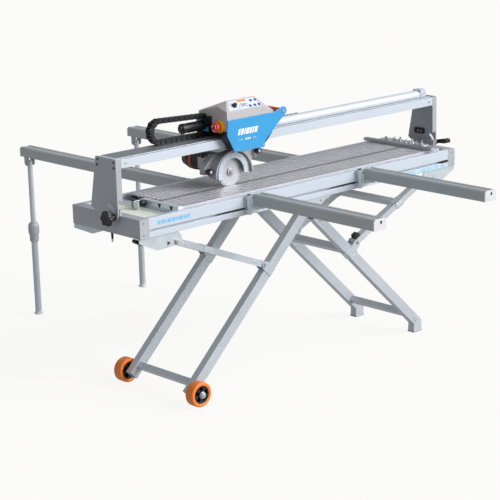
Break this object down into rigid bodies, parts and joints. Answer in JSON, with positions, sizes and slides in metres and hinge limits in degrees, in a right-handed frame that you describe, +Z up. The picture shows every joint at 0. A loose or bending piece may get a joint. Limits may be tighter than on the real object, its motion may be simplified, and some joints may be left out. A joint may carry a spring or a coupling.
{
  "type": "tile cutter",
  "caption": "Bridge tile saw: ribbed table and water tray in a rail frame, tilting bridge with motor-fed saw carriage, swing-out side arms, folding wheeled stand.",
  "frame": {"origin": "on the floor, under the middle of the whole machine's box with its side arms out", "axes": "+X along the cut towards the cable duct's end, +Y away from the operator, +Z up"},
  "size_m": [1.756, 2.052, 1.069],
  "materials": {
    "rail_aluminium": "satin anodised, bluish silver",
    "grey_casting": "mid grey powder coat",
    "table_aluminium": "ribbed, brushed",
    "tray_plastic": "pale, semi matt",
    "zinc_bracket": "bluish zinc plate",
    "leg_tube": "silver grey paint",
    "arm_aluminium": "dark grey anodised",
    "black_plastic": "fine grain",
    "black_metal": "black paint",
    "blue_plate": "sky blue paint",
    "cabinet_grey": "warm light grey paint",
    "handle_red": "red orange grip",
    "bright_steel": "ground steel",
    "motor_casing": "grey sand cast",
    "tyre_orange": "orange polyurethane",
    "hub_black": "moulded nylon",
    "button_blue": "blue caps",
    "estop_red": "red mushroom head",
    "estop_yellow": "yellow collar"
  },
  "bodies": {
    "base": {"front_rail": "rail_aluminium", "rear_rail": "rail_aluminium", "left_end_box": "grey_casting", "right_end_box": "grey_casting", "water_tray": "tray_plastic", "water_pump": "black_plastic", "table_front": "table_aluminium", "table_rear": "table_aluminium", "table_end_bar": "zinc_bracket", "tile_fence": "table_aluminium", "centre_bracket": "zinc_bracket", "left_stand_bracket": "zinc_bracket", "right_stand_bracket": "zinc_bracket"},
    "bridge": {"left_column": "grey_casting", "right_column": "grey_casting", "bridge_beam": "rail_aluminium", "feed_rack": "bright_steel", "cable_duct": "rail_aluminium", "drag_chain": "black_plastic"},
    "tilt_knob": {"tilt_knob": "black_plastic"},
    "tilt_lever": {"tilt_lever": "black_plastic"},
    "carriage": {"carriage_saddle": "black_metal", "control_box": "cabinet_grey", "front_plate": "blue_plate", "rear_plate": "blue_plate", "handle_bar": "handle_red", "feed_motor": "black_metal"},
    "feed_pinion": {"feed_pinion": "bright_steel"},
    "speed_knob": {"speed_knob": "black_plastic"},
    "estop_button": {"estop_button": "estop_red"},
    "saw_head": {"saw_housing": "motor_casing", "saw_motor": "black_plastic", "guard_cover": "rail_aluminium"},
    "depth_knob_left": {"depth_knob_left": "black_plastic"},
    "depth_knob_right": {"depth_knob_right": "black_plastic"},
    "blade": {"saw_blade": "bright_steel", "blade_flange": "bright_steel"},
    "wheel_legs": {"wheel_leg_frame": "leg_tube"},
    "foot_legs": {"foot_leg_frame": "leg_tube"},
    "left_stay": {"left_stay": "leg_tube"},
    "right_stay": {"right_stay": "leg_tube"},
    "wheel_front": {"wheel_front": "tyre_orange"},
    "wheel_rear": {"wheel_rear": "tyre_orange"},
    "button_1": {"button_1": "button_blue"},
    "button_2": {"button_2": "button_blue"},
    "button_3": {"button_3": "button_blue"},
    "button_4": {"button_4": "button_blue"},
    "button_5": {"button_5": "button_blue"},
    "front_slider_left": {"front_arm_bracket_left": "zinc_bracket"},
    "front_arm_left": {"front_arm_left": "arm_aluminium"},
    "rear_arm_left": {"rear_arm_left": "arm_aluminium"},
    "rear_leg_left": {"rear_leg_upper_left": "leg_tube"},
    "rear_foot_left": {"rear_leg_lower_left": "leg_tube"},
    "leg_collar_left": {"leg_collar_left": "grey_casting"},
    "front_slider_right": {"front_arm_bracket_right": "zinc_bracket"},
    "front_arm_right": {"front_arm_right": "arm_aluminium"},
    "rear_arm_right": {"rear_arm_right": "arm_aluminium"},
    "rear_leg_right": {"rear_leg_upper_right": "leg_tube"},
    "rear_foot_right": {"rear_leg_lower_right": "leg_tube"},
    "leg_collar_right": {"leg_collar_right": "grey_casting"}
  },
  "joints": [
    {"name": "bridge_tilt", "type": "hinge", "parent": "base", "child": "bridge", "pos_m": [0, -0.238, 0.74], "axis": [1, 0, 0], "range_deg": [0, 45]},
    {"name": "tilt_knob_turn", "type": "hinge", "parent": "bridge", "child": "tilt_knob", "pos_m": [-0.86, -0.264, 0.726], "axis": [1, 0, 0], "range_deg": [0, 180]},
    {"name": "tilt_lever_turn", "type": "hinge", "parent": "base", "child": "tilt_lever", "pos_m": [0.85, -0.274, 0.741], "axis": [1, 0, 0], "range_deg": [0, 60]},
    {"name": "carriage_slide", "type": "slide", "parent": "bridge", "child": "carriage", "axis": [1, 0, 0], "range_m": [-0.24, 0.84], "deforming": ["drag_chain"]},
    {"name": "feed_pinion_spin", "type": "hinge", "parent": "carriage", "child": "feed_pinion", "pos_m": [-0.3, -0.272, 0.9415], "axis": [0, 1, 0], "continuous": true},
    {"name": "saw_plunge", "type": "slide", "parent": "carriage", "child": "saw_head", "axis": [0, 0, 1], "range_m": [-0.012, 0.018]},
    {"name": "blade_spin", "type": "hinge", "parent": "saw_head", "child": "blade", "pos_m": [-0.262, -0.238, 0.791], "axis": [0, 1, 0], "continuous": true},
    {"name": "depth_knob_left_turn", "type": "hinge", "parent": "saw_head", "child": "depth_knob_left", "pos_m": [-0.361, -0.239, 0.806], "axis": [0, 1, 0], "range_deg": [0, 180]},
    {"name": "depth_knob_right_turn", "type": "hinge", "parent": "saw_head", "child": "depth_knob_right", "pos_m": [-0.117, -0.239, 0.849], "axis": [0, 1, 0], "range_deg": [0, 180]},
    {"name": "button_1_press", "type": "slide", "parent": "carriage", "child": "button_1", "axis": [0, 0.6493, -0.7606], "range_m": [0, 0.002], "stiffness_N_per_m": 300},
    {"name": "button_2_press", "type": "slide", "parent": "carriage", "child": "button_2", "axis": [0, 0.6493, -0.7606], "range_m": [0, 0.002], "stiffness_N_per_m": 300},
    {"name": "button_3_press", "type": "slide", "parent": "carriage", "child": "button_3", "axis": [0, 0.6493, -0.7606], "range_m": [0, 0.002], "stiffness_N_per_m": 300},
    {"name": "button_4_press", "type": "slide", "parent": "carriage", "child": "button_4", "axis": [0, 0.6493, -0.7606], "range_m": [0, 0.002], "stiffness_N_per_m": 300},
    {"name": "button_5_press", "type": "slide", "parent": "carriage", "child": "button_5", "axis": [0, 0.6493, -0.7606], "range_m": [0, 0.002], "stiffness_N_per_m": 300},
    {"name": "speed_knob_turn", "type": "hinge", "parent": "carriage", "child": "speed_knob", "pos_m": [-0.29, -0.30375, 1.04958], "axis": [0, -0.6493, 0.7606], "range_deg": [-140, 140]},
    {"name": "estop_press", "type": "slide", "parent": "carriage", "child": "estop_button", "axis": [1, 0, 0], "range_m": [0, 0.005], "stiffness_N_per_m": 600},
    {"name": "wheel_leg_fold", "type": "hinge", "parent": "base", "child": "wheel_legs", "pos_m": [0, -0.202, 0.63], "axis": [0, 1, 0], "range_deg": [0, 31]},
    {"name": "foot_leg_fold", "type": "hinge", "parent": "base", "child": "foot_legs", "pos_m": [0, -0.202, 0.63], "axis": [0, -1, 0], "range_deg": [0, 31]},
    {"name": "left_stay_fold", "type": "hinge", "parent": "wheel_legs", "child": "left_stay", "pos_m": [-0.23111, -0.202, 0.45318], "axis": [0, -1, 0], "range_deg": [0, 50]},
    {"name": "right_stay_fold", "type": "hinge", "parent": "foot_legs", "child": "right_stay", "pos_m": [0.26544, -0.202, 0.44442], "axis": [0, 1, 0], "range_deg": [0, 53]},
    {"name": "wheel_front_spin", "type": "hinge", "parent": "wheel_legs", "child": "wheel_front", "pos_m": [-0.601, -0.41, 0.047], "axis": [0, 1, 0], "continuous": true},
    {"name": "wheel_rear_spin", "type": "hinge", "parent": "wheel_legs", "child": "wheel_rear", "pos_m": [-0.601, 0.006, 0.047], "axis": [0, 1, 0], "continuous": true},
    {"name": "front_slider_left_slide", "type": "slide", "parent": "base", "child": "front_slider_left", "axis": [1, 0, 0], "range_m": [-0.3, 0.1]},
    {"name": "front_arm_left_swing", "type": "hinge", "parent": "front_slider_left", "child": "front_arm_left", "pos_m": [-0.324, -0.408, 0.703], "axis": [0, 0, -1], "range_deg": [0, 90]},
    {"name": "rear_arm_left_slide", "type": "slide", "parent": "base", "child": "rear_arm_left", "axis": [1, 0, 0], "range_m": [-0.3, 0.1]},
    {"name": "rear_leg_left_fold", "type": "hinge", "parent": "rear_arm_left", "child": "rear_leg_left", "pos_m": [-0.29, 1.001, 0.666], "axis": [-1, 0, 0], "range_deg": [0, 90]},
    {"name": "rear_foot_left_slide", "type": "slide", "parent": "rear_leg_left", "child": "rear_foot_left", "axis": [0, 0, 1], "range_m": [0, 0.045]},
    {"name": "leg_collar_left_turn", "type": "hinge", "parent": "rear_foot_left", "child": "leg_collar_left", "pos_m": [-0.29, 1.001, 0.36], "axis": [0, 0, 1], "range_deg": [0, 90]},
    {"name": "front_slider_right_slide", "type": "slide", "parent": "base", "child": "front_slider_right", "axis": [1, 0, 0], "range_m": [-0.1, 0.3]},
    {"name": "front_arm_right_swing", "type": "hinge", "parent": "front_slider_right", "child": "front_arm_right", "pos_m": [0.256, -0.408, 0.703], "axis": [0, 0, -1], "range_deg": [0, 50]},
    {"name": "rear_arm_right_slide", "type": "slide", "parent": "base", "child": "rear_arm_right", "axis": [1, 0, 0], "range_m": [-0.1, 0.3]},
    {"name": "rear_leg_right_fold", "type": "hinge", "parent": "rear_arm_right", "child": "rear_leg_right", "pos_m": [0.29, 1.001, 0.666], "axis": [-1, 0, 0], "range_deg": [0, 90]},
    {"name": "rear_foot_right_slide", "type": "slide", "parent": "rear_leg_right", "child": "rear_foot_right", "axis": [0, 0, 1], "range_m": [0, 0.045]},
    {"name": "leg_collar_right_turn", "type": "hinge", "parent": "rear_foot_right", "child": "leg_collar_right", "pos_m": [0.29, 1.001, 0.36], "axis": [0, 0, 1], "range_deg": [0, 90]}
  ],
  "couplings": [
    {"joint": "feed_pinion_spin", "follows": "carriage_slide", "rad_per_m": 83.333},
    {"joint": "left_stay_fold", "follows": "wheel_leg_fold", "ratio": 1.58},
    {"joint": "right_stay_fold", "follows": "foot_leg_fold", "ratio": 1.705}
  ]
}
